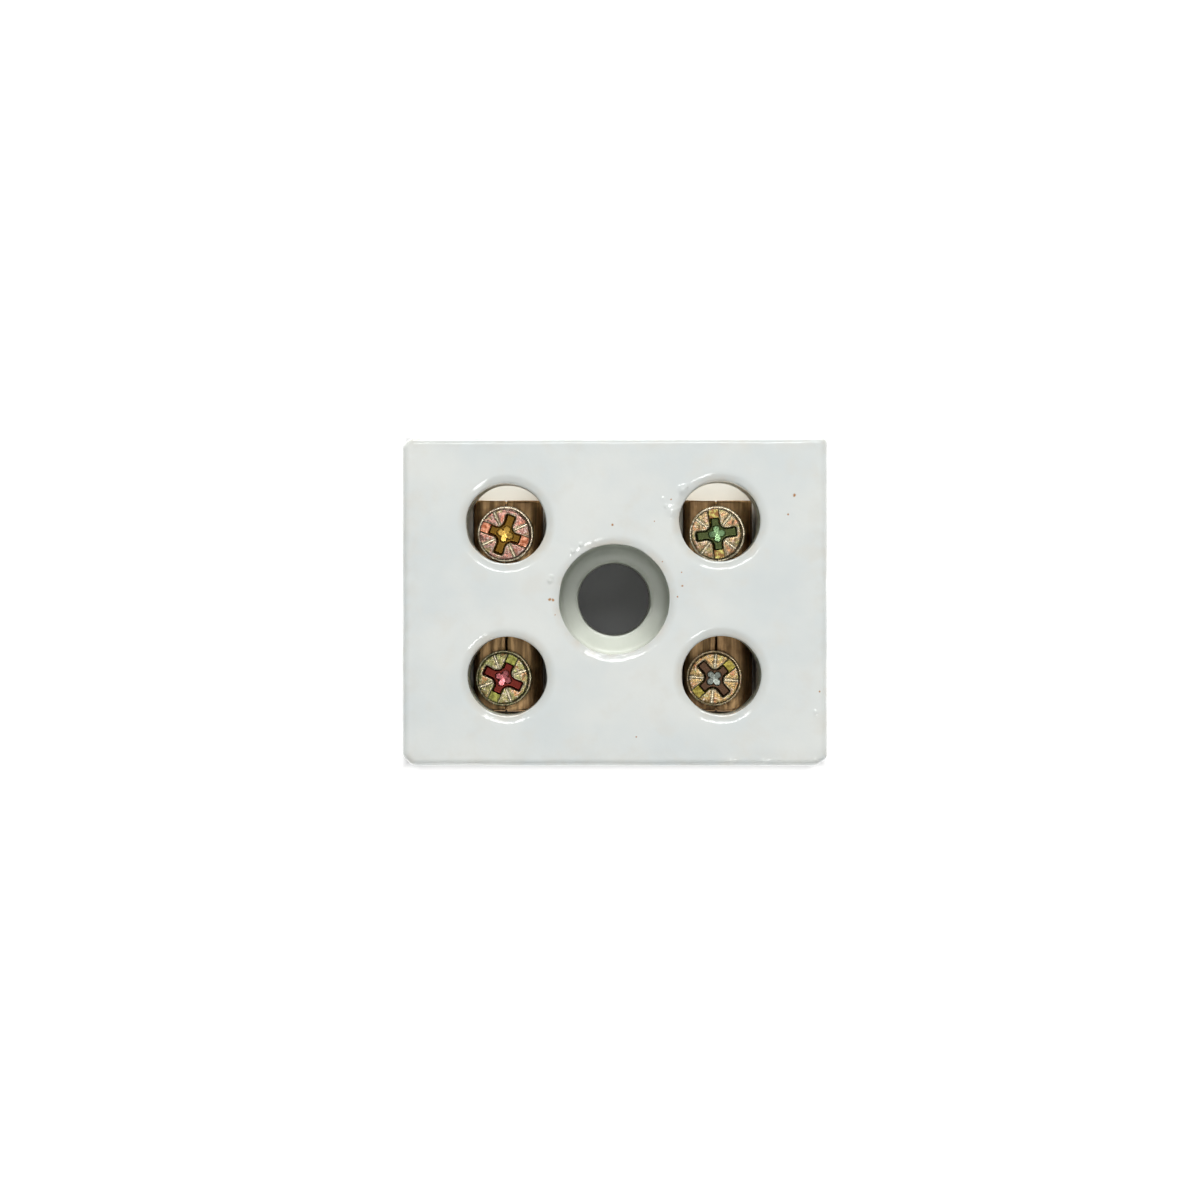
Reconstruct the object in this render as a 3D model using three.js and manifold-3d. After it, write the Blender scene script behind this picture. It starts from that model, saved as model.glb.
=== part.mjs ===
// Two-pole ceramic terminal block: a pressed porcelain body with two wire channels running through it
// from front to back. Each channel holds a connector tube folded from brass sheet, and each tube carries
// two clamp screws that are reached through the round wells in the top face. One stepped hole in the
// middle fixes the block to a surface.
//
// Millimetres. +Z is up, the side of the screws. +X runs along the long side and +Y along the wire
// channels. The origin is the centre of the bottom face.

import * as THREE from "three";
import { mergeVertices, toCreasedNormals } from "three/addons/utils/BufferGeometryUtils.js";
import Module from "manifold-3d";

const wasm = await Module();
wasm.setup();

// ---------------------------------------------------------------- driving dimensions

const BODY = { length: 31, width: 24.1, height: 20, cornerRadius: 0.8, edgeRadius: 0.5 };

// Stepped hole for the fixing screw, whose head stands on the step.
const FIXING_HOLE = { radius: 2.65, headRadius: 4.15, headDepth: 3.8 };

// Wells that give the screwdriver access to the clamp screws.
const WELL = { radius: 2.92, x: 7.76, y: 5.62 };

// The pressed wells and fixing hole sit a little off the middle of the body.
const HOLE_SHIFT = { x: -0.05, y: 0.12 };

// Wire channels, which run through the body along Y.
const CHANNEL = { x: 7.8, width: 5.45, height: 6, floor: 5, cornerRadius: 0.6 };

// Connector tube folded from sheet. The seam runs along the top wall, a little left of the tube's middle.
const TUBE = {
  width: 5.1,
  height: 5.6,
  length: 15.7,
  sheet: 0.85,
  bendRadius: 0.8,
  innerRadius: 0.15,
  seam: 0.16,
  seamX: -0.14,
  floorGap: 0.05,
};

// M3 clamp screw. The pitch is the distance between the two screws of one tube.
const SCREW = {
  pitch: 10.7,
  headRadius: 2.05,
  headHeight: 1.7,
  headEdge: 0.3,
  threadRadius: 1.46,
  threadDepth: 0.3,
  threadPitch: 0.5,
  shankLength: 5,
  clearance: 0.08,
};

// Sideways place of each screw from its tube's seam.
const SCREW_SHIFT = { left: { front: -0.13, rear: 0 }, right: { front: -0.13, rear: 0.12 } };

// The tubes lie loose in their channels, to the left and as far to the front as the screw heads allow.
const REST_SHIFT = { x: -0.12, y: -0.36 };

// Height of a screw head's underside above its tube at rest.
const HEAD_LIFT = 0.6;

// Combined slot and cross recess in a screw head.
const RECESS = {
  armLength: 3.1,
  armWidth: 0.75,
  armDepth: 0.8,
  slotDepth: 0.4,
  coreRadius: 0.66,
  coreDepth: 1.2,
  tickWidth: 0.34,
  tickDepth: 0.2,
  tickRise: 6,
};

// Turn of each screw's slot from the X axis, in degrees.
const SLOT_TURN = { left: { front: 65, rear: 160 }, right: { front: 40, rear: 98 } };

const ROUND_SEGMENTS = 64;
const SCREW_SEGMENTS = 28;
const BEND_SEGMENTS = 5;
const CREASE_ANGLE = Math.PI / 6;
const OVERSHOOT = 1;

// ---------------------------------------------------------------- derived levels

const tubeBottom = CHANNEL.floor + TUBE.floorGap;
const tubeTop = tubeBottom + TUBE.height;
const headUnderside = tubeTop + HEAD_LIFT;

// ---------------------------------------------------------------- solids

// A closed geometry as a manifold-3d solid.
function solid(geometry) {
  const bare = geometry.clone();
  bare.deleteAttribute("normal");
  bare.deleteAttribute("uv");
  const merged = mergeVertices(bare, 1e-4);
  return new wasm.Manifold(
    new wasm.Mesh({
      numProp: 3,
      vertProperties: new Float32Array(merged.attributes.position.array),
      triVerts: new Uint32Array(merged.index.array),
    }),
  );
}

// A manifold-3d solid back as a geometry.
function geometryOf(manifold) {
  const mesh = manifold.getMesh();
  const geometry = new THREE.BufferGeometry();
  geometry.setAttribute("position", new THREE.BufferAttribute(new Float32Array(mesh.vertProperties), 3));
  geometry.setIndex(new THREE.BufferAttribute(new Uint32Array(mesh.triVerts), 1));
  return geometry;
}

// The geometry less its cutters, with a smooth finish that breaks at its edges.
function cut(geometry, cutters) {
  const left = cutters.reduce((rest, cutter) => rest.subtract(solid(cutter)), solid(geometry));
  return toCreasedNormals(geometryOf(left), CREASE_ANGLE);
}

// ---------------------------------------------------------------- shapes

// Outline of a rectangle centred on the origin, with rounded corners.
function roundedRectangle(width, height, radius) {
  const x = width / 2 - radius;
  const y = height / 2 - radius;
  const shape = new THREE.Shape();
  shape.absarc(x, y, radius, 0, Math.PI / 2);
  shape.absarc(-x, y, radius, Math.PI / 2, Math.PI);
  shape.absarc(-x, -y, radius, Math.PI, 1.5 * Math.PI);
  shape.absarc(x, -y, radius, 1.5 * Math.PI, 2 * Math.PI);
  shape.closePath();
  return shape;
}

// A solid of revolution about Z from (radius, z) points, which start and end on the axis and run upwards.
function turned(points, segments) {
  const profile = points.map(([radius, z]) => new THREE.Vector2(radius, z));
  return new THREE.LatheGeometry(profile, segments).rotateX(Math.PI / 2);
}

function upright(radius, bottom, top, segments) {
  return turned([[0, bottom], [radius, bottom], [radius, top], [0, top]], segments);
}

// A profile drawn in X and Z, extruded along Y and centred on it.
function alongY(shape, length, curveSegments) {
  const options = { depth: length, bevelEnabled: false, curveSegments };
  return new THREE.ExtrudeGeometry(shape, options).translate(0, 0, -length / 2).rotateX(Math.PI / 2);
}

// ---------------------------------------------------------------- ceramic body

function fixingHole() {
  const { radius, headRadius, headDepth } = FIXING_HOLE;
  const step = BODY.height - headDepth;
  const top = BODY.height + OVERSHOOT;
  return turned(
    [
      [0, -OVERSHOOT],
      [radius, -OVERSHOOT],
      [radius, step],
      [headRadius, step],
      [headRadius, top],
      [0, top],
    ],
    ROUND_SEGMENTS,
  );
}

function channel(x) {
  const middle = CHANNEL.floor + CHANNEL.height / 2;
  const section = roundedRectangle(CHANNEL.width, CHANNEL.height, CHANNEL.cornerRadius);
  return alongY(section, BODY.width + 2 * OVERSHOOT, BEND_SEGMENTS).translate(x, 0, middle);
}

function well(x, y) {
  const bottom = CHANNEL.floor + CHANNEL.height - OVERSHOOT / 2;
  return upright(WELL.radius, bottom, BODY.height + OVERSHOOT, ROUND_SEGMENTS).translate(x, y, 0);
}

function bodyGeometry() {
  const { length, width, height, cornerRadius, edgeRadius } = BODY;
  const inset = 2 * edgeRadius;
  const outline = roundedRectangle(length - inset, width - inset, cornerRadius - edgeRadius);
  const block = new THREE.ExtrudeGeometry(outline, {
    depth: height - inset,
    bevelEnabled: true,
    bevelThickness: edgeRadius,
    bevelSize: edgeRadius,
    bevelSegments: 3,
    curveSegments: BEND_SEGMENTS,
  }).translate(0, 0, edgeRadius);
  const holes = [fixingHole()];
  for (const side of [-1, 1]) {
    for (const end of [-1, 1]) holes.push(well(side * WELL.x, end * WELL.y));
  }
  for (const hole of holes) hole.translate(HOLE_SHIFT.x, HOLE_SHIFT.y, 0);
  return cut(block, [...holes, channel(-CHANNEL.x), channel(CHANNEL.x)]);
}

// ---------------------------------------------------------------- connector tube

// The folded sheet's section: from the seam round the outside, and back round the inside.
function tubeSection() {
  const { width, height, sheet, bendRadius, innerRadius, seam, seamX } = TUBE;
  const outerX = width / 2 - bendRadius;
  const outerZ = height / 2 - bendRadius;
  const innerX = width / 2 - sheet - innerRadius;
  const innerZ = height / 2 - sheet - innerRadius;
  const quarter = Math.PI / 2;
  const shape = new THREE.Shape();
  shape.moveTo(seamX - seam / 2, height / 2);
  shape.absarc(-outerX, outerZ, bendRadius, quarter, 2 * quarter);
  shape.absarc(-outerX, -outerZ, bendRadius, 2 * quarter, 3 * quarter);
  shape.absarc(outerX, -outerZ, bendRadius, 3 * quarter, 4 * quarter);
  shape.absarc(outerX, outerZ, bendRadius, 0, quarter);
  shape.lineTo(seamX + seam / 2, height / 2);
  shape.lineTo(seamX + seam / 2, height / 2 - sheet);
  shape.absarc(innerX, innerZ, innerRadius, quarter, 0, true);
  shape.absarc(innerX, -innerZ, innerRadius, 0, -quarter, true);
  shape.absarc(-innerX, -innerZ, innerRadius, -quarter, -2 * quarter, true);
  shape.absarc(-innerX, innerZ, innerRadius, 2 * quarter, quarter, true);
  shape.lineTo(seamX - seam / 2, height / 2 - sheet);
  shape.closePath();
  return shape;
}

function tubeGeometry(shifts) {
  const tube = alongY(tubeSection(), TUBE.length, BEND_SEGMENTS).translate(0, 0, TUBE.height / 2);
  const radius = SCREW.threadRadius + SCREW.clearance;
  const bottom = TUBE.height - TUBE.sheet - TUBE.innerRadius;
  const top = TUBE.height + OVERSHOOT;
  const holes = [[shifts.front, -0.5], [shifts.rear, 0.5]].map(([shift, end]) =>
    upright(radius, bottom, top, SCREW_SEGMENTS).translate(TUBE.seamX + shift, end * SCREW.pitch, 0),
  );
  return cut(tube, holes);
}

// ---------------------------------------------------------------- clamp screw

// Tip first, with one ridge for each turn of the thread, up to the head.
function screwProfile() {
  const { shankLength, threadRadius, threadDepth, threadPitch, headRadius, headHeight, headEdge } = SCREW;
  const root = threadRadius - threadDepth;
  const shoulder = headHeight - headEdge;
  const points = [[0, -shankLength], [root, -shankLength]];
  for (let z = -shankLength + threadPitch; z < -threadPitch / 2; z += threadPitch) {
    points.push([threadRadius, z], [root, z + threadPitch / 2]);
  }
  points.push([root, 0], [headRadius, 0], [headRadius, shoulder]);
  for (const turn of [30, 60, 90]) {
    const angle = THREE.MathUtils.degToRad(turn);
    const radius = headRadius - headEdge * (1 - Math.cos(angle));
    points.push([radius, shoulder + headEdge * Math.sin(angle)]);
  }
  points.push([0, headHeight]);
  return points;
}

// A box cutter that opens upwards from the head's top face to the depth given.
function trench(length, width, depth, turn) {
  const height = depth + OVERSHOOT;
  return new THREE.BoxGeometry(length, width, height)
    .translate(0, 0, SCREW.headHeight - depth + height / 2)
    .rotateZ(THREE.MathUtils.degToRad(turn));
}

// A V-shaped groove from the recess to the head's edge, deepest at the recess.
function tick(turn) {
  const reach = RECESS.armLength / 2;
  const v = new THREE.Shape();
  v.moveTo(0, -RECESS.tickDepth);
  v.lineTo(RECESS.tickWidth / 2, RECESS.tickDepth);
  v.lineTo(-RECESS.tickWidth / 2, RECESS.tickDepth);
  v.closePath();
  return new THREE.ExtrudeGeometry(v, { depth: reach, bevelEnabled: false })
    .rotateX(Math.PI / 2)
    .rotateZ(Math.PI / 2)
    .translate(RECESS.coreRadius / 2, 0, 0)
    .rotateY(THREE.MathUtils.degToRad(-RECESS.tickRise))
    .translate(0, 0, SCREW.headHeight)
    .rotateZ(THREE.MathUtils.degToRad(turn));
}

function screwGeometry() {
  const { armLength, armWidth, armDepth, slotDepth, coreRadius, coreDepth } = RECESS;
  const { headHeight, headRadius } = SCREW;
  const cutters = [
    trench(2 * headRadius + OVERSHOOT, armWidth, slotDepth, 0),
    trench(armLength, armWidth, armDepth, 0),
    trench(armLength, armWidth, armDepth, 90),
    upright(coreRadius, headHeight - coreDepth, headHeight + OVERSHOOT, SCREW_SEGMENTS),
    ...[45, 135, 225, 315].map(tick),
  ];
  return cut(turned(screwProfile(), SCREW_SEGMENTS), cutters);
}

// ---------------------------------------------------------------- assembly

const porcelain = new THREE.MeshStandardMaterial({ color: 0xdde2e0, roughness: 0.18, metalness: 0 });
const brass = new THREE.MeshStandardMaterial({ color: 0xb08a52, roughness: 0.35, metalness: 1 });
const yellowZinc = new THREE.MeshStandardMaterial({ color: 0xcdb877, roughness: 0.3, metalness: 1 });

function piece(name, geometry, material, parent) {
  const mesh = new THREE.Mesh(geometry, material);
  mesh.name = name;
  parent.add(mesh);
  return mesh;
}

// One tube with its front and rear screw, as a group that stands at the tube's place.
function pole(side, x) {
  const group = new THREE.Group();
  group.position.set(x + REST_SHIFT.x, REST_SHIFT.y, 0);
  const shifts = SCREW_SHIFT[side];
  piece(`${side}_connector_tube`, tubeGeometry(shifts), brass, group).position.z = tubeBottom;
  for (const [end, y] of [["front", -SCREW.pitch / 2], ["rear", SCREW.pitch / 2]]) {
    const screw = piece(`${side}_${end}_clamp_screw`, screwGeometry(), yellowZinc, group);
    screw.position.set(TUBE.seamX + shifts[end], y, headUnderside);
    screw.rotation.z = THREE.MathUtils.degToRad(SLOT_TURN[side][end]);
  }
  return group;
}

const block = new THREE.Group();
piece("ceramic_body", bodyGeometry(), porcelain, block);
block.add(pole("left", -CHANNEL.x));
block.add(pole("right", CHANNEL.x));

export default block;
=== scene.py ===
"""Looks of a two-pole porcelain terminal block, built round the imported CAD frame.

Each piece is written as a signed distance field in millimetres, negative inside, and meshed by a surface net
whose vertices are then drawn onto the field's zero surface. Fillets, threads and glaze lumps are part of the
fields, so they are real geometry. The materials are procedural.
"""
import math

import bmesh
import bpy
import numpy as np
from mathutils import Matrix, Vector


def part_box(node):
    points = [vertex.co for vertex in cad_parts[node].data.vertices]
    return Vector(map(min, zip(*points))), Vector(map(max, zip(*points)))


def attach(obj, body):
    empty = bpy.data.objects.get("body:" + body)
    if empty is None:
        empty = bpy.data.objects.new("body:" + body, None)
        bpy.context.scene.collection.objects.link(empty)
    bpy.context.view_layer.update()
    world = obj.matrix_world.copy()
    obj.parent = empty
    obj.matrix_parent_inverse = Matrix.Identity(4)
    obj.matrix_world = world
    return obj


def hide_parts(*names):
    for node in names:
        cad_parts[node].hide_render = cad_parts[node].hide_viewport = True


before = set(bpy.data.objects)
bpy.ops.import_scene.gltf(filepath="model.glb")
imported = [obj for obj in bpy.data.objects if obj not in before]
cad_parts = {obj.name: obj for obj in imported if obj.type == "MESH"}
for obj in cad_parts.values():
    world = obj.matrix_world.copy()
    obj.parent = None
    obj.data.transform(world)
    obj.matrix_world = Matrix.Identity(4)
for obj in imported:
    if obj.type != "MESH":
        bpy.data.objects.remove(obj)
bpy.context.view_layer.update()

MM = 0.001

# ---------------------------------------------------------------- sizes in millimetres

# Body. The outer size comes from the frame.
EDGE_RADIUS = 0.42
CORNER_RADIUS = 0.3
WELL_RIM = 0.16
STEP_RIM = 0.1
INNER_EDGE = 0.15
MOUTH_RADIUS = 0.45

# The upright corners are cut off at a slant: the side in X and Y, and the length of the cut along each.
CORNER_CUTS = [
    (1, -1, 0.85, 0.6),
    (-1, -1, 0.75, 0.7),
    (-1, 1, 0.65, 0.55),
    (1, 1, 0.4, 0.3),
]
CUT_ROUNDING = 0.25

# How much narrower the block is at its left end, at the rear and at the front.
TAPER = {"rear": 0.1, "front": 0.04}

FIXING_HOLE = {"radius": 2.64, "head_radius": 3.98, "head_depth": 3.8}
WELL = {"radius": 2.92, "x": 7.76, "y": 5.62, "floor": 10.6}
HOLE_SHIFT = (-0.05, 0.12)

# Side in X, side in Y, and what each well's centre and radius are out by.
WELLS = [
    (-1, 1, -0.11, -0.1, 0.0),
    (1, 1, -0.08, 0.07, 0.02),
    (-1, -1, -0.02, 0.02, -0.04),
    (1, -1, 0.04, 0.08, -0.03),
]

# Dip of the glaze round each hole: its width, its slope and how softly it starts.
WELL_DIP = {"width": 0.62, "slope": 0.17, "soft": 0.09}
STEP_DIP = {"width": 0.62, "slope": 0.15, "soft": 0.09}

# Drops and blisters in the glaze: x, y, radius and height.
DROPS = [
    (-4.72, 1.45, 0.16, 0.07),
    (-4.6, 1.75, 0.12, 0.055),
    (4.9, 8.07, 0.3, 0.08),
    (5.2, 8.3, 0.14, 0.05),
    (4.2, 6.5, 0.4, 0.08),
    (4.55, 6.7, 0.18, 0.05),
    (3.7, 6.9, 0.12, 0.04),
    (3.55, 7.5, 0.1, 0.03),
    (-3.1, 3.6, 0.13, 0.05),
    (-2.5, 4.1, 0.12, 0.05),
    (14.6, -8.1, 0.14, 0.04),
    (14.6, -11.6, 0.16, 0.05),
    (8.4, -11.65, 0.16, 0.05),
    (10.8, -11.65, 0.16, 0.05),
]

# Painted shade on the channel floor at the front of the front wells, a dark strip: its middle in Y, its reach and
# its strength. It is painted, because the scene's light left it pale. What makes it dark in the real object isn't
# known.
PAINTED_SHADE_STRIP = {"y": -8.4, "reach": 1.1, "strength": 1.3}

CHANNEL = {"x": 7.8, "width": 5.45, "height": 6.0, "floor": 5.0, "corner": 0.6}

# Connector tube. Its outer size comes from the frame.
SHEET = 0.85
FOLD_LEFT = 0.55
FOLD_RIGHT = 1.0
FOLD_BELOW = 0.8
TUBE_INNER_RADIUS = 0.25
SEAM_X = -0.14
SEAM_WIDTH = 0.08
SEAM_EDGE = 0.05
TUBE_END_EDGE = 0.06
TAPPED_RADIUS = 1.53

# Clamp screw. The head's radius and the whole height come from the frame. The dome is how far the head's top
# falls, times the square of the distance out from its middle.
HEAD_HEIGHT = 1.7
HEAD_DOME = 0.015
HEAD_EDGE = 0.05

# The thin flange round the head's foot. It stands out wider than the CAD's head by the last value.
FLANGE = {"width": 0.2, "height": 0.75, "edge": 0.03, "draft": 0.03, "wider": 0.015}

THREAD_ROOT = 1.16
THREAD_CREST = 1.45
THREAD_PITCH = 0.5
TIP_RADIUS = 0.85

# The recess in the head: a slot, a cross, a four-lobed middle, a bevel round them all, and four radial ticks.
SLOT = {"half_width": 0.4, "depth": 0.38}
CROSS = {"reach_along": 1.2, "reach_across": 1.55, "half_width": 0.34, "depth": 0.62, "fillet": 0.5}
CLOVER = {"offset": 0.38, "radius": 0.25, "depth": 0.88}
BEVEL = {"width": 0.13, "slope": 0.11}
TICK = {"start": 0.78, "end": 1.95, "half_width": 0.07, "depth": 0.1, "slope": 0.1}

# The painted highlight ring on each flange: its width, how softly it starts, and its strength at the rear and the
# front.
RING = {"width": 0.16, "soft": 0.05, "rear": 1.0, "front": 0.35}

# Turn of each screw's slot from the X axis in degrees, and the lean of its head in millimetres for each
# millimetre up.
SCREW_TURN = {
    "left_front": 65,
    "left_rear": 160,
    "right_front": 40,
    "right_rear": 98,
}
SCREW_LEAN = {
    "left_front": (-0.06, -0.02),
    "left_rear": (-0.06, -0.05),
    "right_front": (-0.05, -0.03),
    "right_rear": (-0.09, -0.02),
}

# Unevenness of each surface: its height, the length of its waves and its seed.
UNEVEN = {
    "body": (0.02, 5, 1),
    "glaze": (0.003, 1.3, 2),
    "holes": (0.02, 2.2, 3),
    "tube_ends": (0.02, 2.5, 4),
    "tube": (0.008, 1.2, 5),
    "head": (0.007, 0.4, 6),
}

# Grid steps of the surface nets.
BODY_STEP = {"across": 0.2, "fine": 0.15, "coarse": 0.35}
TUBE_STEP = {"section": 0.1, "along": 0.17, "seam": 0.03}
SCREW_STEP = {"head": 0.045, "shank": 0.07}
SETTLE_STEPS = 4

# Camera, straight above the block.
CAMERA_HEIGHT = 420
VIEW_WIDTH = 87.33
VIEW_CENTRE = (-1.09, 0.07)
SENSOR_WIDTH = 36

# Floor: half its width in metres, its gap below the block in millimetres, and how strongly it glows beneath the
# block, in its painted shadow, and beside it.
FLOOR_REACH = 3
FLOOR_GAP = 0.02
FLOOR_GLOW = {"beneath": 0.03, "beside": 0.95}

# Lights: place and size in metres, power in watts and colour. They all face a point inside the block.
LIGHTS = {
    "Key": ((0.05, 0.5, 0.42), (0.46, 0.28), 4.25, (1.0, 0.995, 0.985)),
    "Overhead": ((0.0, 0.03, 1.1), (0.6, 0.6), 1.15, (1.0, 1.0, 1.0)),
    "RearGlint": ((0.0, 0.22, 1.05), (0.25, 0.08), 0.7, (1.0, 1.0, 1.0)),
    "FrontGlint": ((0.11, -0.17, 1.05), (0.08, 0.08), 0.25, (1.0, 1.0, 1.0)),
    "Fill": ((0.0, -0.9, 0.3), (0.8, 0.3), 3.1, (1.0, 1.0, 1.0)),
}
LIGHT_TARGET = (0, 0, 0.015)
WORLD_COLOUR = (0.95, 0.98, 1.0, 1)
WORLD_STRENGTH = 0.06


# ---------------------------------------------------------------- distance fields


def round_max(a, b, radius):
    """What two fields share, with the edge between them rounded off."""
    near = np.hypot(np.maximum(radius + a, 0), np.maximum(radius + b, 0))
    return np.minimum(-radius, np.maximum(a, b)) + near


def round_min(a, b, radius):
    """Two fields joined, with the inner corner between them rounded out."""
    return -round_max(-a, -b, radius)


def rectangle(x, y, half_x, half_y, radius):
    """A rectangle with rounded corners. The radius may be an array."""
    qx = np.abs(x) - (half_x - radius)
    qy = np.abs(y) - (half_y - radius)
    outside = np.hypot(np.maximum(qx, 0), np.maximum(qy, 0))
    return outside + np.minimum(np.maximum(qx, qy), 0) - radius


def waves(x, y, z, length, seed, count=9):
    """Smooth lumps between about -1 and 1: a sum of plane waves in random directions."""
    random = np.random.default_rng(seed)
    total = np.zeros(np.broadcast(x, y, z).shape)
    for _ in range(count):
        direction = random.normal(size=3)
        direction *= 2 * math.pi / (length * np.linalg.norm(direction))
        direction *= random.uniform(0.7, 1.4)
        phase = random.uniform(0, 2 * math.pi)
        total += np.sin(direction[0] * x + direction[1] * y + direction[2] * z + phase)
    return total / math.sqrt(2 * count)


def uneven(surface, x, y, z):
    """The unevenness of one of the surfaces in the list."""
    height, length, seed = UNEVEN[surface]
    return height * waves(x, y, z, length, seed)


# ---------------------------------------------------------------- surface net


def crossings(value, grid, axis):
    """Which grid edges along an axis cross the surface, and where."""
    low = tuple(slice(None, -1) if i == axis else slice(None) for i in range(3))
    high = tuple(slice(1, None) if i == axis else slice(None) for i in range(3))
    crossed = (value[low] < 0) != (value[high] < 0)
    gap = np.where(crossed, value[low] - value[high], 1)
    share = np.where(crossed, value[low] / gap, 0)
    place = [g[low] for g in grid]
    place[axis] = place[axis] + share * (grid[axis][high] - grid[axis][low])
    return crossed, place, value[low] < 0


def surface_net(field, axes):
    """Points and quads of a field's zero surface, with one point in each grid cell that it passes through."""
    grid = np.meshgrid(*axes, indexing="ij")
    value = field(*grid)
    cells = tuple(n - 1 for n in value.shape)
    total = np.zeros((3, *cells))
    count = np.zeros(cells)
    edges = [crossings(value, grid, axis) for axis in range(3)]
    for axis, (crossed, place, _) in enumerate(edges):
        u, v = (axis + 1) % 3, (axis + 2) % 3
        for du in (0, 1):
            for dv in (0, 1):
                part = [slice(None)] * 3
                part[u] = slice(du, du + cells[u])
                part[v] = slice(dv, dv + cells[v])
                part = tuple(part)
                count += crossed[part]
                for i in range(3):
                    total[i] += np.where(crossed[part], place[i][part], 0)
    used = count > 0
    number = np.full(cells, -1)
    number[used] = np.arange(used.sum())
    points = total[:, used] / count[used]
    quads = []
    for axis, (crossed, _, low_inside) in enumerate(edges):
        u, v = (axis + 1) % 3, (axis + 2) % 3
        at = np.array(np.nonzero(crossed))
        corners = []
        for du, dv in ((-1, -1), (0, -1), (0, 0), (-1, 0)):
            cell = at.copy()
            cell[u] += du
            cell[v] += dv
            corners.append(number[tuple(cell)])
        quad = np.stack(corners, axis=1)
        facing = low_inside[tuple(at)]
        quads.append(np.where(facing[:, None], quad, quad[:, ::-1]))
    return points, np.concatenate(quads)


def slope(points, field, step):
    """The field's gradient by central differences."""
    columns = []
    for i in range(3):
        offset = np.zeros((3, 1))
        offset[i] = step
        columns.append((field(*(points + offset)) - field(*(points - offset))) / (2 * step))
    return np.stack(columns)


def settle(points, field, step):
    """Draws points onto the field's zero surface."""
    for _ in range(SETTLE_STEPS):
        gradient = slope(points, field, step / 10)
        size = np.maximum((gradient**2).sum(axis=0), 0.1)
        move = field(*points) * gradient / size
        points = points - np.clip(move, -step / 2, step / 2)
    return points


def net(field, axes, step):
    """Points and quads of a field's zero surface, settled onto it."""
    points, quads = surface_net(field, axes)
    return settle(points, field, step), quads


def steps(low, high, size):
    """Grid lines from low to high, about size apart."""
    return np.linspace(low, high, max(2, round((high - low) / size) + 1))


def joined(*stretches):
    """Several runs of grid lines as one rising axis."""
    return np.unique(np.round(np.concatenate(stretches), 5))


def refined(points, faces, chosen, field, step):
    """Splits the edges between chosen points in three, so that small shapes there are drawn finely."""
    mesh = bpy.data.meshes.new("refined")
    mesh.from_pydata(points.T.tolist(), [], faces.tolist())
    made = bmesh.new()
    made.from_mesh(mesh)
    edges = [edge for edge in made.edges if chosen[edge.verts[0].index] and chosen[edge.verts[1].index]]
    bmesh.ops.subdivide_edges(made, edges=edges, cuts=2, use_grid_fill=True)
    bmesh.ops.triangulate(made, faces=[face for face in made.faces if len(face.verts) > 4])
    made.verts.index_update()
    split = np.array([vert.co[:] for vert in made.verts]).T
    faces = [[vert.index for vert in face.verts] for face in made.faces]
    made.free()
    bpy.data.meshes.remove(mesh)
    return settle(split, field, step), faces


# ---------------------------------------------------------------- pieces from nets


def piece(name, points, faces, material, slot, body, nodes, **attributes):
    """A shown piece that stands for CAD nodes, with its places in metres and its own vertex attributes."""
    mesh = bpy.data.meshes.new(name)
    mesh.from_pydata((points.T * MM).tolist(), [], [list(face) for face in faces])
    mesh.shade_smooth()
    for key, values in attributes.items():
        attribute = mesh.attributes.new(key, "FLOAT", "POINT")
        attribute.data.foreach_set("value", np.ascontiguousarray(values, dtype=np.float32))
    made = bpy.data.objects.new(name, mesh)
    bpy.context.scene.collection.objects.link(made)
    mesh.materials.append(material)
    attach(made, body)
    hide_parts(*nodes)
    return made


def node_box(name):
    """A CAD node's lowest and highest corners in millimetres."""
    low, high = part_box(name)
    return np.array(low) / MM, np.array(high) / MM


# ---------------------------------------------------------------- porcelain body

body_low, body_high = node_box("ceramic_body")
body_half = (body_high - body_low) / 2
body_top = body_high[2]


def block_field(x, y, z):
    """The pressed block before its holes."""
    narrower = np.where(y > 0, TAPER["rear"], -TAPER["front"])
    y = y + narrower * (1 - x / body_half[0]) / 2
    outline = rectangle(x, y, body_half[0], body_half[1], CORNER_RADIUS)
    for side, end, along, across in CORNER_CUTS:
        over_x = (side * x - body_half[0]) / along
        over_y = (end * y - body_half[1]) / across
        cut = (over_x + over_y + 1) * along * across / math.hypot(along, across)
        outline = round_max(outline, cut, CUT_ROUNDING)
    slab = np.abs(z - body_half[2]) - body_half[2]
    return round_max(outline, slab, EDGE_RADIUS)


def hole_walls(x, y):
    """Distance outside the wall of the fixing hole's step, and of each well, in plan."""
    step = np.hypot(x - HOLE_SHIFT[0], y - HOLE_SHIFT[1]) - FIXING_HOLE["head_radius"]
    wells = []
    for side, end, out_x, out_y, wider in WELLS:
        middle_x = HOLE_SHIFT[0] + side * WELL["x"] + out_x
        middle_y = HOLE_SHIFT[1] + end * WELL["y"] + out_y
        wells.append(np.hypot(x - middle_x, y - middle_y) - WELL["radius"] - wider)
    return step, wells


def dip_depth(wall, width, slope, soft):
    """A cone round a hole that starts softly at its outer edge and ends at the hole's wall."""
    inwards = width - np.maximum(wall, 0)
    return slope * soft * np.logaddexp(0, inwards / soft)


def glaze_height(x, y):
    """How far the glaze of the top face dips round the holes, or rises in drops."""
    step, wells = hole_walls(x, y)
    dip = dip_depth(step, **STEP_DIP)
    for well in wells:
        dip = np.maximum(dip, dip_depth(well, **WELL_DIP))
    height = -dip
    for drop_x, drop_y, radius, rise in DROPS:
        height = height + rise * np.exp(-((x - drop_x) ** 2 + (y - drop_y) ** 2) / radius**2)
    return height


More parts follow.
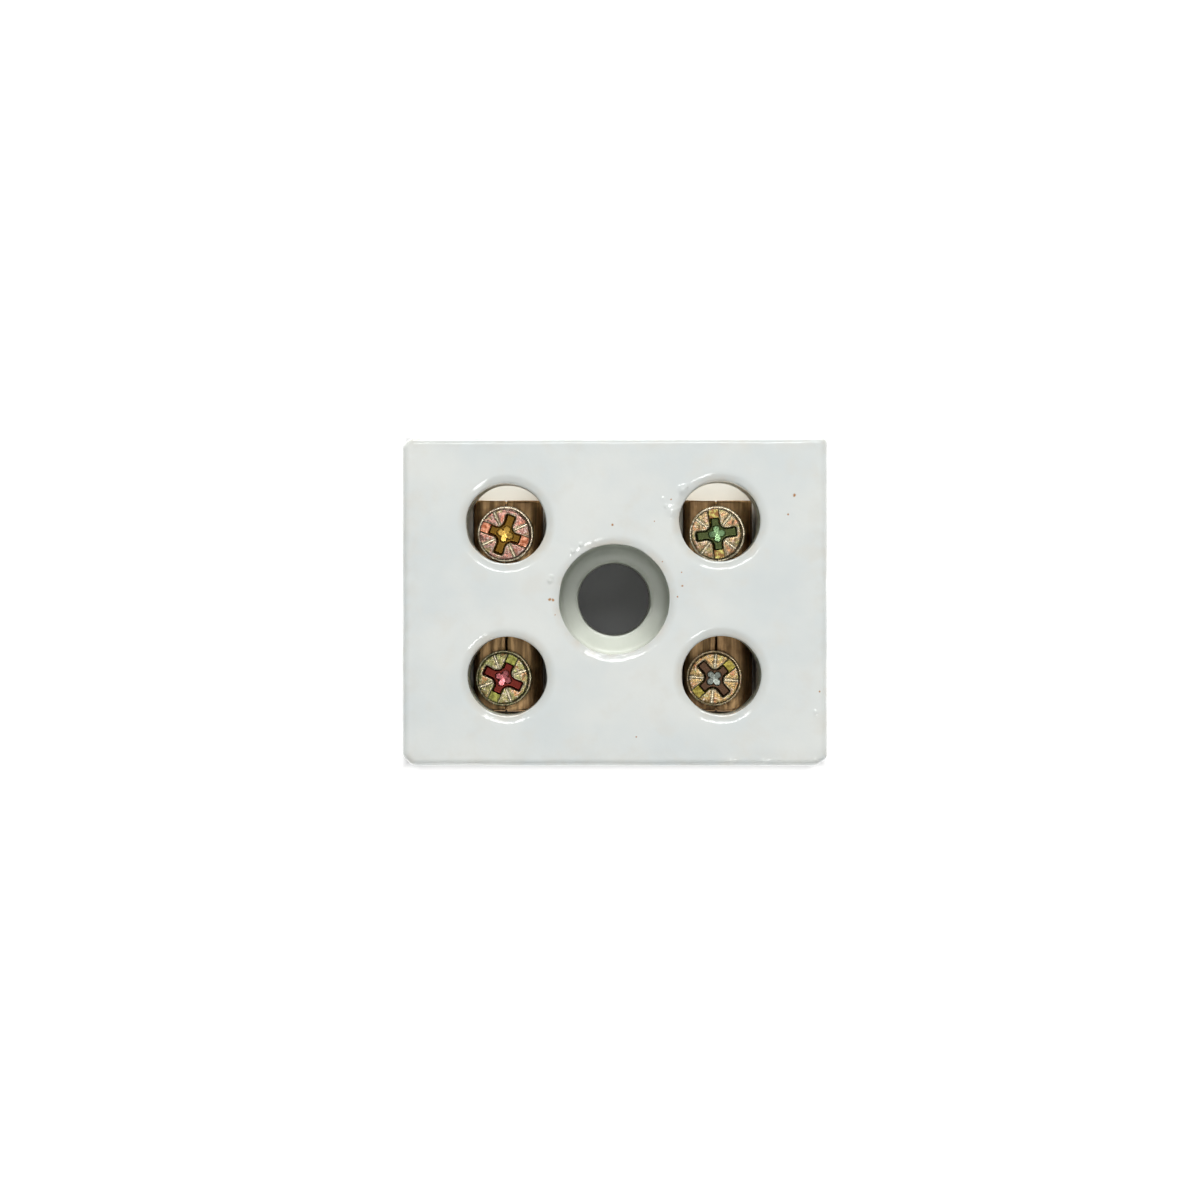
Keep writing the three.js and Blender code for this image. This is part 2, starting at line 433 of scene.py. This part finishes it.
def body_field(x, y, z):
    """The whole porcelain body: the block with its fixing hole, wells and channels cut out."""
    step, wells = hole_walls(x, y)
    near_top = np.clip((z - body_top + 4) / 3, 0, 1)
    block = block_field(x, y, z - near_top * glaze_height(x, y))
    block = block + uneven("body", x, y, z) + uneven("glaze", x, y, z)
    lumps = uneven("holes", x, y, z)
    shelf = round_max(step, body_top - FIXING_HOLE["head_depth"] - z, INNER_EDGE)
    narrow = step + FIXING_HOLE["head_radius"] - FIXING_HOLE["radius"]
    fixing_hole = round_min(narrow, shelf, INNER_EDGE)
    upper = round_max(block, -fixing_hole + lumps, STEP_RIM)
    lower = upper
    for well in wells:
        upper = round_max(upper, -round_max(well, WELL["floor"] - z, INNER_EDGE) + lumps, WELL_RIM)
    middle = CHANNEL["floor"] + CHANNEL["height"] / 2
    for side in (-1, 1):
        over = x - side * CHANNEL["x"]
        channel = rectangle(over, z - middle, CHANNEL["width"] / 2, CHANNEL["height"] / 2, CHANNEL["corner"])
        lower = round_max(lower, -channel, MOUTH_RADIUS)
    return round_max(upper, lower, INNER_EDGE)


def rim_of(points):
    """How near each point is to the rim of a hole in the top face, from 0 to 1."""
    step, wells = hole_walls(points[0], points[1])
    across = np.minimum.reduce([np.abs(well) for well in [step, *wells]])
    return np.clip(1 - across / 0.7, 0, 1) * (points[2] > body_top - 1.2)


def border_of(points):
    """How near each point is to the block's outline in plan, from 0 to 1."""
    outline = rectangle(points[0], points[1], body_half[0], body_half[1], CORNER_RADIUS)
    return np.clip(1 + outline / 1.5, 0, 1)


def dark_strip_of(points):
    """How strongly painted shade darkens the channel floor at each point, from 0 to 1."""
    away = np.abs(points[1] - PAINTED_SHADE_STRIP["y"]) / PAINTED_SHADE_STRIP["reach"]
    return np.clip(PAINTED_SHADE_STRIP["strength"] - away, 0, 1)


def fine_zone(points):
    """Which points lie on a rim, in a dip or on a drop of the glaze."""
    step, wells = hole_walls(points[0], points[1])
    near = np.minimum.reduce([np.abs(wall - 0.4) for wall in [step, *wells]]) < 0.75
    for drop_x, drop_y, radius, _ in DROPS:
        near |= np.hypot(points[0] - drop_x, points[1] - drop_y) < 2.2 * radius
    return near & (points[2] > body_top - 0.7)


def make_body(material):
    margin = 0.3
    axes = [
        steps(body_low[0] - margin, body_high[0] + margin, BODY_STEP["across"]),
        steps(body_low[1] - margin, body_high[1] + margin, BODY_STEP["across"]),
        joined(
            steps(-margin, 1, BODY_STEP["fine"]),
            steps(1, body_top - 2.2, BODY_STEP["coarse"]),
            steps(body_top - 2.2, body_top + margin, BODY_STEP["fine"]),
        ),
    ]
    points, quads = net(body_field, axes, BODY_STEP["fine"])
    points, faces = refined(points, quads, fine_zone(points), body_field, BODY_STEP["fine"] / 2)
    piece(
        "porcelain_body",
        points,
        faces,
        material,
        "porcelain",
        "block",
        ["ceramic_body"],
        hollow=-block_field(*points),
        rim=rim_of(points),
        border=border_of(points),
        height=points[2],
        dark_strip=dark_strip_of(points),
    )


# ---------------------------------------------------------------- connector tubes


def tube_field(half_x, half_y, half_z, holes):
    """The field of a tube centred on the origin, with the places of its tapped holes."""

    def field(x, y, z):
        fold = np.where(z < 0, FOLD_BELOW, np.where(x < 0, FOLD_LEFT, FOLD_RIGHT))
        outer = rectangle(x, z, half_x, half_z, fold)
        inner = rectangle(x, z, half_x - SHEET, half_z - SHEET, TUBE_INNER_RADIUS)
        ends = np.abs(y) - half_y + 0.02 + uneven("tube_ends", x, y, z)
        wall = round_max(round_max(outer, ends, TUBE_END_EDGE), -inner, TUBE_END_EDGE)
        wall = wall + uneven("tube", x, 0.25 * y, z)
        seam = np.maximum(np.abs(x - SEAM_X) - SEAM_WIDTH / 2, -z)
        wall = round_max(wall, -seam, SEAM_EDGE)
        for hole_x, hole_y in holes:
            across = np.hypot(x - hole_x, y - hole_y)
            wall = round_max(wall, np.where(z < 0, -half_z, TAPPED_RADIUS - across), 0.08)
        return wall

    return field


def make_tubes(material):
    margin = 0.2
    for side in ("left", "right"):
        low, high = node_box(f"{side}_connector_tube")
        middle = (low + high) / 2
        half = (high - low) / 2
        axes = [
            joined(
                steps(-half[0] - margin, SEAM_X - 0.2, TUBE_STEP["section"]),
                steps(SEAM_X - 0.2, SEAM_X + 0.2, TUBE_STEP["seam"]),
                steps(SEAM_X + 0.2, half[0] + margin, TUBE_STEP["section"]),
            ),
            steps(-half[1] - margin, half[1] + margin, TUBE_STEP["along"]),
            steps(-half[2] - margin, half[2] + margin, TUBE_STEP["section"]),
        ]
        holes = []
        for end in ("front", "rear"):
            screw_low, screw_high = node_box(f"{side}_{end}_clamp_screw")
            holes.append(((screw_low + screw_high) / 2 - middle)[:2])
        points, quads = net(tube_field(*half, holes), axes, TUBE_STEP["section"])
        place = points + middle[:, None]
        node = f"{side}_connector_tube"
        piece(f"{side}_tube", place, quads, material, "brass", f"{side}_terminal", [node])


# ---------------------------------------------------------------- clamp screws


def clover_field(x, y, z):
    """The deep middle of the recess: four round lobes on a floor of four facets."""
    lobes = [
        np.hypot(x - dx * CLOVER["offset"], y - dy * CLOVER["offset"]) - CLOVER["radius"]
        for dx, dy in ((1, 0), (-1, 0), (0, 1), (0, -1))
    ]
    middle = np.abs(x) + np.abs(y) - 1.15 * CLOVER["offset"]
    outline = round_min(np.minimum.reduce(lobes), middle, 0.07)
    floor = HEAD_HEIGHT - CLOVER["depth"] + 0.15 * np.maximum(np.abs(x), np.abs(y)) - z
    return round_max(outline, floor, 0.02)


def recess_field(x, y, z):
    """Slot, cross and ticks in the head's top face."""
    slot = round_max(np.abs(y) - SLOT["half_width"], HEAD_HEIGHT - SLOT["depth"] - z, 0.04)
    floor = HEAD_HEIGHT - CROSS["depth"] - z
    flare = 0.04 * np.hypot(x, y)
    along = rectangle(x, y, CROSS["reach_along"], CROSS["half_width"], 0.1) - flare
    across = rectangle(x, y, CROSS["half_width"], CROSS["reach_across"] - 0.06, 0.1) - flare
    cross = round_min(along, across, CROSS["fillet"]) - 0.16 * (z - HEAD_HEIGHT)
    recess = np.minimum(slot, round_max(cross, floor, 0.03))
    recess = np.minimum(recess, clover_field(x, y, z))
    for turn in (1, 3):
        angle = math.radians(45 * turn)
        out = np.abs(x * math.cos(angle) + y * math.sin(angle))
        aside = np.abs(y * math.cos(angle) - x * math.sin(angle))
        across = aside - TICK["half_width"]
        floor = HEAD_HEIGHT - TICK["depth"] + TICK["slope"] * aside - z
        span = np.maximum(TICK["start"] - out, out - TICK["end"])
        recess = np.minimum(recess, np.maximum(np.maximum(across, floor), span))
    return recess


def screw_field(head_radius, shank):
    """The field of a screw whose head stands on the origin, with its shank below."""

    def field(x, y, z):
        across = np.hypot(x, y)
        inset = np.clip(BEVEL["width"] - recess_field(x, y, HEAD_HEIGHT - 0.05), 0, BEVEL["width"])
        slab = np.maximum(z - HEAD_HEIGHT + HEAD_DOME * across**2 + BEVEL["slope"] * inset, -z)
        side = across - head_radius + FLANGE["width"] + FLANGE["draft"] * (z - HEAD_HEIGHT)
        head = round_max(side, slab, HEAD_EDGE)
        flange = round_max(across - head_radius, np.maximum(z - FLANGE["height"], -z), FLANGE["edge"])
        head = round_min(head, flange, FLANGE["edge"])
        rough = uneven("head", x, y, z) * (z > HEAD_HEIGHT - 0.2)
        head = round_max(head + rough, -recess_field(x, y, z), 0.03)
        turn = z / THREAD_PITCH - np.arctan2(y, x) / (2 * math.pi)
        ridge = 1 - np.abs(2 * (turn - np.floor(turn)) - 1)
        crest = THREAD_ROOT + (THREAD_CREST - THREAD_ROOT) * np.clip(1.25 * ridge - 0.1, 0, 1)
        thread = (across - crest) * 0.6
        chamfer = (across - TIP_RADIUS - (z + shank)) / math.sqrt(2)
        body = round_max(np.maximum(thread, chamfer), np.maximum(-shank - z, z - 0.1), 0.05)
        return round_min(head, body, 0.1)

    return field


def screw_mesh():
    """Points and quads of one upright screw, and each point's depth, nearness to an edge and share of the ring."""
    low, high = node_box("left_front_clamp_screw")
    radius = (high[0] - low[0]) / 2
    shank = high[2] - low[2] - HEAD_HEIGHT
    margin = 0.15
    across = steps(-radius - margin, radius + margin, SCREW_STEP["head"])
    upwards = joined(
        steps(-shank - margin, -0.1, SCREW_STEP["shank"]),
        steps(-0.1, HEAD_HEIGHT + margin, SCREW_STEP["head"]),
    )
    radius = radius + FLANGE["wider"]
    points, quads = net(screw_field(radius, shank), [across, across, upwards], SCREW_STEP["head"])
    out = np.hypot(*points[:2])
    inside = out < radius - FLANGE["width"] - 0.04
    depth = np.where(points[2] > 0, HEAD_HEIGHT - HEAD_DOME * out**2 - points[2], 0) * inside
    to_recess = recess_field(points[0], points[1], HEAD_HEIGHT - 0.05 + 0 * out)
    # Masks of the painted highlights: along the recess's edges near the top face, and round the flange.
    edge = np.clip(1.4 - to_recess / 0.06, 0, 1) * inside * (depth < 0.16)
    ring = np.clip((out - radius + RING["width"]) / RING["soft"], 0, 1)
    ring = ring * (points[2] > 0.5 * FLANGE["height"])
    return points, quads, depth, edge, ring


def placed_screw(name, points):
    """The screw's points, turned and leaned as this screw stands in the photo, on its own place."""
    low, high = node_box(f"{name}_clamp_screw")
    angle = math.radians(SCREW_TURN[name])
    lean = SCREW_LEAN[name]
    turned = np.stack(
        [
            points[0] * math.cos(angle) - points[1] * math.sin(angle) + lean[0] * points[2],
            points[0] * math.sin(angle) + points[1] * math.cos(angle) + lean[1] * points[2],
            points[2],
        ]
    )
    place = np.array([(low[0] + high[0]) / 2, (low[1] + high[1]) / 2, high[2] - HEAD_HEIGHT])
    return turned + place[:, None]


def make_screws(materials):
    points, quads, depth, edge, ring = screw_mesh()
    for name in SCREW_TURN:
        # The flange's painted highlight ring is stronger on the rear screws, and joins the recess's painted edge
        # highlight.
        shine = RING["rear"] if name.endswith("rear") else RING["front"]
        piece(
            f"{name}_screw",
            placed_screw(name, points),
            quads,
            materials[name],
            "yellow_zinc",
            f"{name}_screw",
            [f"{name}_clamp_screw"],
            depth=depth,
            edge=np.maximum(shine * ring, edge),
        )


# ---------------------------------------------------------------- material helpers


def srgb(red, green, blue):
    """A colour given as 0 to 255 in sRGB, as linear RGBA."""
    shares = (red / 255, green / 255, blue / 255)
    linear = [c / 12.92 if c <= 0.04045 else ((c + 0.055) / 1.055) ** 2.4 for c in shares]
    return (*linear, 1)


def add(tree, kind, settings=None, **inputs):
    """A shader node with its settings and inputs. A socket's name is written with _ for each space."""
    node = tree.nodes.new("ShaderNode" + kind)
    for key, value in (settings or {}).items():
        setattr(node, key, value)
    for key, value in inputs.items():
        plug(tree, node.inputs[key.replace("_", " ")], value)
    return node


def plug(tree, socket, value):
    if isinstance(value, bpy.types.NodeSocket):
        tree.links.new(value, socket)
    else:
        socket.default_value = value


def calc(tree, operation, *values):
    node = add(tree, "Math", {"operation": operation})
    for socket, value in zip(node.inputs, values):
        plug(tree, socket, value)
    return node.outputs[0]


def ramp(tree, value, low, high, to_low=0.0, to_high=1.0):
    node = add(tree, "MapRange", {"interpolation_type": "SMOOTHSTEP"}, Value=value)
    for key, number in (("From Min", low), ("From Max", high), ("To Min", to_low), ("To Max", to_high)):
        node.inputs[key].default_value = number
    return node.outputs[0]


def blend(tree, share, a, b):
    """A mix of two colours."""
    node = add(tree, "Mix", {"data_type": "RGBA"})
    plug(tree, node.inputs[0], share)
    plug(tree, node.inputs[6], a)
    plug(tree, node.inputs[7], b)
    return node.outputs[2]


def noise(tree, vector, size, detail=3.0, rough=0.55):
    """Noise whose features are about size millimetres across."""
    node = add(tree, "TexNoise", Vector=vector, Scale=1 / (size * MM), Detail=detail, Roughness=rough)
    return node.outputs[0]


def own(tree):
    """The piece's own coordinates, in metres."""
    return add(tree, "TexCoord").outputs["Object"]


def stretched(tree, vector, x, y, z):
    node = add(tree, "Mapping", Vector=vector)
    node.inputs["Scale"].default_value = (x, y, z)
    return node.outputs[0]


def attribute(tree, name):
    return add(tree, "Attribute", {"attribute_name": name}).outputs["Fac"]


def bump(tree, height, depth, normal=None):
    """A bump of the given depth in millimetres."""
    node = add(tree, "Bump", Height=height, Distance=depth * MM)
    if normal is not None:
        plug(tree, node.inputs["Normal"], normal)
    return node.outputs[0]


def new_material(name):
    material = bpy.data.materials.new(name)
    material.use_nodes = True
    tree = material.node_tree
    return material, tree, tree.nodes["Principled BSDF"]


# ---------------------------------------------------------------- porcelain

# Rust specks in the top face: x, y and radius in millimetres.
SPECKS = [
    (-4.75, 0.1, 0.17),
    (-4.5, 0.08, 0.15),
    (-4.35, -1.0, 0.1),
    (13.05, 7.7, 0.15),
    (12.6, 6.3, 0.09),
    (4.1, 7.4, 0.09),
    (3.45, 2.85, 0.08),
    (4.85, 2.1, 0.08),
    (4.9, 1.1, 0.1),
    (4.55, 0.3, 0.09),
    (2.85, 5.8, 0.07),
    (-0.2, 5.55, 0.11),
    (1.55, -9.9, 0.08),
    (14.9, -6.6, 0.1),
]


def specks(tree, vector):
    """1 in the specks of the list and in sparse small ones everywhere, else 0."""
    wobble = add(tree, "TexNoise", Vector=vector, Scale=1 / (0.25 * MM), Detail=1.0).outputs["Color"]
    moved = add(tree, "VectorMath", {"operation": "MULTIPLY_ADD"})
    plug(tree, moved.inputs[0], wobble)
    moved.inputs[1].default_value = (0.12 * MM,) * 3
    plug(tree, moved.inputs[2], vector)
    found = None
    for x, y, radius in SPECKS:
        near = add(tree, "VectorMath", {"operation": "DISTANCE"})
        plug(tree, near.inputs[0], moved.outputs[0])
        near.inputs[1].default_value = ((x + 0.06) * MM, (y + 0.06) * MM, body_top * MM)
        spot = ramp(tree, near.outputs["Value"], radius * MM, 0.3 * radius * MM)
        found = spot if found is None else calc(tree, "MAXIMUM", found, spot)
    cells = add(tree, "TexVoronoi", Vector=moved.outputs[0], Scale=1 / (3 * MM))
    draw = add(tree, "SeparateColor", Color=cells.outputs["Color"]).outputs[0]
    chosen = calc(tree, "GREATER_THAN", draw, 0.86)
    dot = ramp(tree, cells.outputs["Distance"], 0.045, 0.02)
    return calc(tree, "MAXIMUM", found, calc(tree, "MULTIPLY", dot, chosen))


# Colours of the porcelain, in sRGB. The sides are darker than the top only so that they don't wash out in the
# scene's light. The photo doesn't show them.
GLAZE = {
    "cool": (222, 228, 227),
    "warm": (232, 235, 231),
    "blotch": (226, 226, 219),
    "stain": (208, 196, 176),
    "rim": (206, 208, 202),
    "rim_stain": (216, 200, 176),
    "side_cool": (195, 198, 194),
    "side_warm": (202, 203, 197),
    "side_stain": (200, 192, 176),
    "hole_light": (216, 220, 211),
    "hole_dark": (200, 204, 193),
    # Painted light: the channels are coloured lighter than the holes and the top's glaze.
    "channel": (240, 240, 232),
    # Painted shade on the channel floor at the front of the front wells.
    "dark_strip": (58, 52, 44),
    "rust_light": (196, 142, 84),
    "rust_dark": (158, 112, 70),
    "bare_dark": (226, 221, 208),
    "bare_light": (240, 237, 229),
}

# Heights in millimetres between which one look of the porcelain gives way to another.
TOP_TO_SIDE = (19.6, 18.6)
WELL_TO_CHANNEL = (13.5, 11.5)
GLAZE_TO_BARE = (0.45, 0.2)


def outside_glaze(tree, place, colour):
    """The glaze of the top face and the sides."""
    cloud = ramp(tree, noise(tree, place, 6), 0.3, 0.7)
    glaze = blend(tree, cloud, colour["cool"], colour["warm"])
    blotch = ramp(tree, noise(tree, place, 2.2, 4), 0.5, 0.72, 0, 0.45)
    glaze = blend(tree, blotch, glaze, colour["blotch"])
    stain = ramp(tree, noise(tree, stretched(tree, place, 1, 1, 0.4), 1.3, 4), 0.4, 0.68)
    stain = calc(tree, "MULTIPLY", calc(tree, "MULTIPLY", attribute(tree, "border"), stain), 0.22)
    glaze = blend(tree, stain, glaze, colour["stain"])
    rim = calc(tree, "MULTIPLY", attribute(tree, "rim"), ramp(tree, noise(tree, place, 1.6), 0.42, 0.66))
    glaze = blend(tree, calc(tree, "MULTIPLY", attribute(tree, "rim"), 0.6), glaze, colour["rim"])
    glaze = blend(tree, calc(tree, "MULTIPLY", rim, 0.35), glaze, colour["rim_stain"])
    side = blend(tree, cloud, colour["side_cool"], colour["side_warm"])
    side = blend(tree, stain, side, colour["side_stain"])
    return blend(tree, ramp(tree, attribute(tree, "height"), *TOP_TO_SIDE), glaze, side)


def inside_glaze(tree, place, colour):
    """The glaze inside the holes and the channels."""
    patchy = blend(tree, noise(tree, place, 1.5), colour["hole_light"], colour["hole_dark"])
    # Low in the block, in the channels, the porcelain is painted lighter as painted light on the channel floors.
    channel = ramp(tree, attribute(tree, "height"), *WELL_TO_CHANNEL)
    patchy = blend(tree, channel, patchy, colour["channel"])
    # Painted shade: a dark strip on the channel floor at the front of the front wells.
    strip = calc(tree, "MULTIPLY", channel, attribute(tree, "dark_strip"))
    return blend(tree, strip, patchy, colour["dark_strip"])


def porcelain_material():
    """Glossy glaze with clouds, stains and specks, duller in the holes, over an unglazed underside."""
    material, tree, shader = new_material("Porcelain")
    place = own(tree)
    colour = {name: srgb(*value) for name, value in GLAZE.items()}
    deep = ramp(tree, attribute(tree, "hollow"), 0.4, 3.0)
    glaze = blend(tree, deep, outside_glaze(tree, place, colour), inside_glaze(tree, place, colour))
    rust = blend(tree, noise(tree, place, 0.15), colour["rust_light"], colour["rust_dark"])
    glaze = blend(tree, specks(tree, place), glaze, rust)
    bare = ramp(tree, attribute(tree, "height"), *GLAZE_TO_BARE)
    grain = noise(tree, place, 0.35, 6)
    glaze = blend(tree, bare, glaze, blend(tree, grain, colour["bare_dark"], colour["bare_light"]))
    plug(tree, shader.inputs["Base Color"], glaze)
    dull = calc(tree, "MAXIMUM", bare, calc(tree, "MULTIPLY", deep, 0.5))
    smooth = ramp(tree, noise(tree, place, 0.8), 0.3, 0.7, 0.05, 0.1)
    plug(tree, shader.inputs["Roughness"], calc(tree, "MULTIPLY_ADD", dull, 0.55, smooth))
    shader.inputs["IOR"].default_value = 1.52
    peel = bump(tree, noise(tree, place, 0.7, 2), 0.012)
    tooth = bump(tree, calc(tree, "MULTIPLY", grain, bare), 0.08, peel)
    plug(tree, shader.inputs["Normal"], tooth)
    return material


# ---------------------------------------------------------------- brass


def brass_material():
    """Brass with drawing streaks along the tube and patches of tarnish."""
    material, tree, shader = new_material("DrawnBrass")
    place = own(tree)
    streak = noise(tree, stretched(tree, place, 1, 0.06, 1), 0.35, 5, 0.65)
    patch = noise(tree, place, 2.2, 4)
    fine = noise(tree, stretched(tree, place, 1, 0.1, 1), 0.12, 3, 0.6)
    bright = blend(tree, ramp(tree, streak, 0.32, 0.7), srgb(144, 115, 80), srgb(192, 156, 112))
    bright = blend(tree, ramp(tree, fine, 0.5, 0.75, 0, 0.45), bright, srgb(200, 164, 112))
    tarnish = ramp(tree, patch, 0.45, 0.68)
    pinkish = blend(tree, calc(tree, "MULTIPLY", tarnish, 0.6), bright, srgb(110, 80, 54))
    plug(tree, shader.inputs["Base Color"], pinkish)
    shader.inputs["Metallic"].default_value = 1
    plug(tree, shader.inputs["Roughness"], ramp(tree, streak, 0.3, 0.7, 0.52, 0.3))
    plug(tree, shader.inputs["Normal"], bump(tree, streak, 0.02))
    return material


# ---------------------------------------------------------------- yellow zinc

# Colours of each screw's passivation: the head, the slot's ends and their lighter patches, the floor of the
# cross and the deep middle.
ZINC = {
    "left_front": [(148, 141, 92), (112, 112, 52), (164, 164, 84), (104, 38, 30), (196, 112, 116)],
    "left_rear": [(166, 122, 110), (158, 86, 54), (232, 164, 132), (110, 80, 26), (230, 184, 92)],
    "right_front": [(170, 141, 92), (122, 108, 44), (172, 158, 76), (84, 62, 46), (148, 154, 146)],
    "right_rear": [(166, 144, 106), (140, 98, 58), (202, 192, 112), (72, 80, 46), (150, 186, 136)],
}


def zinc_material(name):
    """Yellow passivated zinc in one screw's colours, with a film, pits and painted highlights on its edges."""
    material, tree, shader = new_material("YellowZinc_" + name)
    place = own(tree)
    head, ends, light_ends, floor, middle = (srgb(*c) for c in ZINC[name])
    depth = attribute(tree, "depth")
    pits = noise(tree, place, 0.2, 4)
    film = noise(tree, place, 0.5, 2)
    head = blend(tree, ramp(tree, film, 0.53, 0.68, 0, 0.5), head, srgb(196, 112, 76))
    head = blend(tree, ramp(tree, film, 0.47, 0.32, 0, 0.5), head, srgb(136, 150, 84))
    head = blend(tree, ramp(tree, pits, 0.52, 0.7, 0, 0.5), head, srgb(250, 232, 222))
    head = blend(tree, ramp(tree, pits, 0.48, 0.3, 0, 0.6), head, srgb(96, 74, 66))
    ends = blend(tree, ramp(tree, noise(tree, place, 0.3, 3), 0.4, 0.65), ends, light_ends)
    colour = blend(tree, ramp(tree, depth, 0.22, 0.36), head, ends)
    colour = blend(tree, ramp(tree, depth, 0.42, 0.54), colour, floor)
    colour = blend(tree, ramp(tree, depth, 0.66, 0.72), colour, middle)
    # Painted highlight along the recess's edges and the flange's ring, patchy with noise.
    edge_highlight = ramp(tree, noise(tree, place, 0.4, 3), 0.35, 0.55, 0.5, 1)
    edge_highlight = calc(tree, "MULTIPLY", attribute(tree, "edge"), edge_highlight)
    colour = blend(tree, edge_highlight, colour, srgb(252, 238, 208))
    plug(tree, shader.inputs["Base Color"], colour)
    shader.inputs["Metallic"].default_value = 0.92
    plateau = ramp(tree, depth, 0.14, 0.05, 0.15, 1)
    plug(tree, shader.inputs["Roughness"], ramp(tree, pits, 0.3, 0.7, 0.16, 0.32))
    plug(tree, shader.inputs["Normal"], bump(tree, calc(tree, "MULTIPLY", pits, plateau), 0.02))
    return material


# ---------------------------------------------------------------- studio


def make_floor():
    """A plain white floor that glows a little beside the block, with a painted shadow beneath it: darker and
    barely glowing.
    """
    mesh = bpy.data.meshes.new("Floor")
    corners = [(-1, -1), (1, -1), (1, 1), (-1, 1)]
    places = [(x * FLOOR_REACH, y * FLOOR_REACH, -FLOOR_GAP * MM) for x, y in corners]
    mesh.from_pydata(places, [], [(0, 1, 2, 3)])
    floor = bpy.data.objects.new("Floor", mesh)
    bpy.context.scene.collection.objects.link(floor)
    material, tree, shader = new_material("FloorWhite")
    shader.inputs["Roughness"].default_value = 0.7
    shader.inputs["Emission Color"].default_value = (1, 1, 1, 1)
    x, y, _ = add(tree, "SeparateXYZ", Vector=own(tree)).outputs
    over_x = calc(tree, "SUBTRACT", calc(tree, "ABSOLUTE", x), body_half[0] * MM)
    over_y = calc(tree, "SUBTRACT", calc(tree, "ABSOLUTE", y), body_half[1] * MM)
    beside = ramp(tree, calc(tree, "MAXIMUM", over_x, over_y), -0.001, 0.002)
    # Painted shadow: the floor beneath the block is darker grey and barely glows.
    plug(tree, shader.inputs["Base Color"], blend(tree, beside, srgb(150, 152, 152), srgb(246, 246, 246)))
    glow = ramp(tree, beside, 0, 1, FLOOR_GLOW["beneath"], FLOOR_GLOW["beside"])
    plug(tree, shader.inputs["Emission Strength"], glow)
    mesh.materials.append(material)


def area_light(name, place, size, power, colour):
    """A soft light that faces the block."""
    lamp = bpy.data.lights.new(name, "AREA")
    lamp.shape = "RECTANGLE"
    lamp.size, lamp.size_y = size
    lamp.energy = power
    lamp.color = colour
    made = bpy.data.objects.new(name, lamp)
    bpy.context.scene.collection.objects.link(made)
    made.location = place
    to_block = np.array(LIGHT_TARGET) - np.array(place)
    made.rotation_euler = Vector(to_block).to_track_quat("-Z", "Y").to_euler()


def make_world():
    world = bpy.data.worlds.new("Studio")
    bpy.context.scene.world = world
    world.use_nodes = True
    background = world.node_tree.nodes["Background"]
    background.inputs["Color"].default_value = WORLD_COLOUR
    background.inputs["Strength"].default_value = WORLD_STRENGTH


def make_camera():
    data = bpy.data.cameras.new("Camera")
    data.sensor_width = SENSOR_WIDTH
    data.lens = SENSOR_WIDTH * CAMERA_HEIGHT / VIEW_WIDTH
    data.clip_start, data.clip_end = 0.01, 20
    camera = bpy.data.objects.new("Camera", data)
    bpy.context.scene.collection.objects.link(camera)
    camera.location = (VIEW_CENTRE[0] * MM, VIEW_CENTRE[1] * MM, (body_top + CAMERA_HEIGHT) * MM)
    bpy.context.scene.camera = camera


make_camera()
make_world()
make_floor()
for light, settings in LIGHTS.items():
    area_light(light, *settings)
make_body(porcelain_material())
make_tubes(brass_material())
make_screws({name: zinc_material(name) for name in SCREW_TURN})

bpy.context.scene.view_settings.view_transform = "Standard"
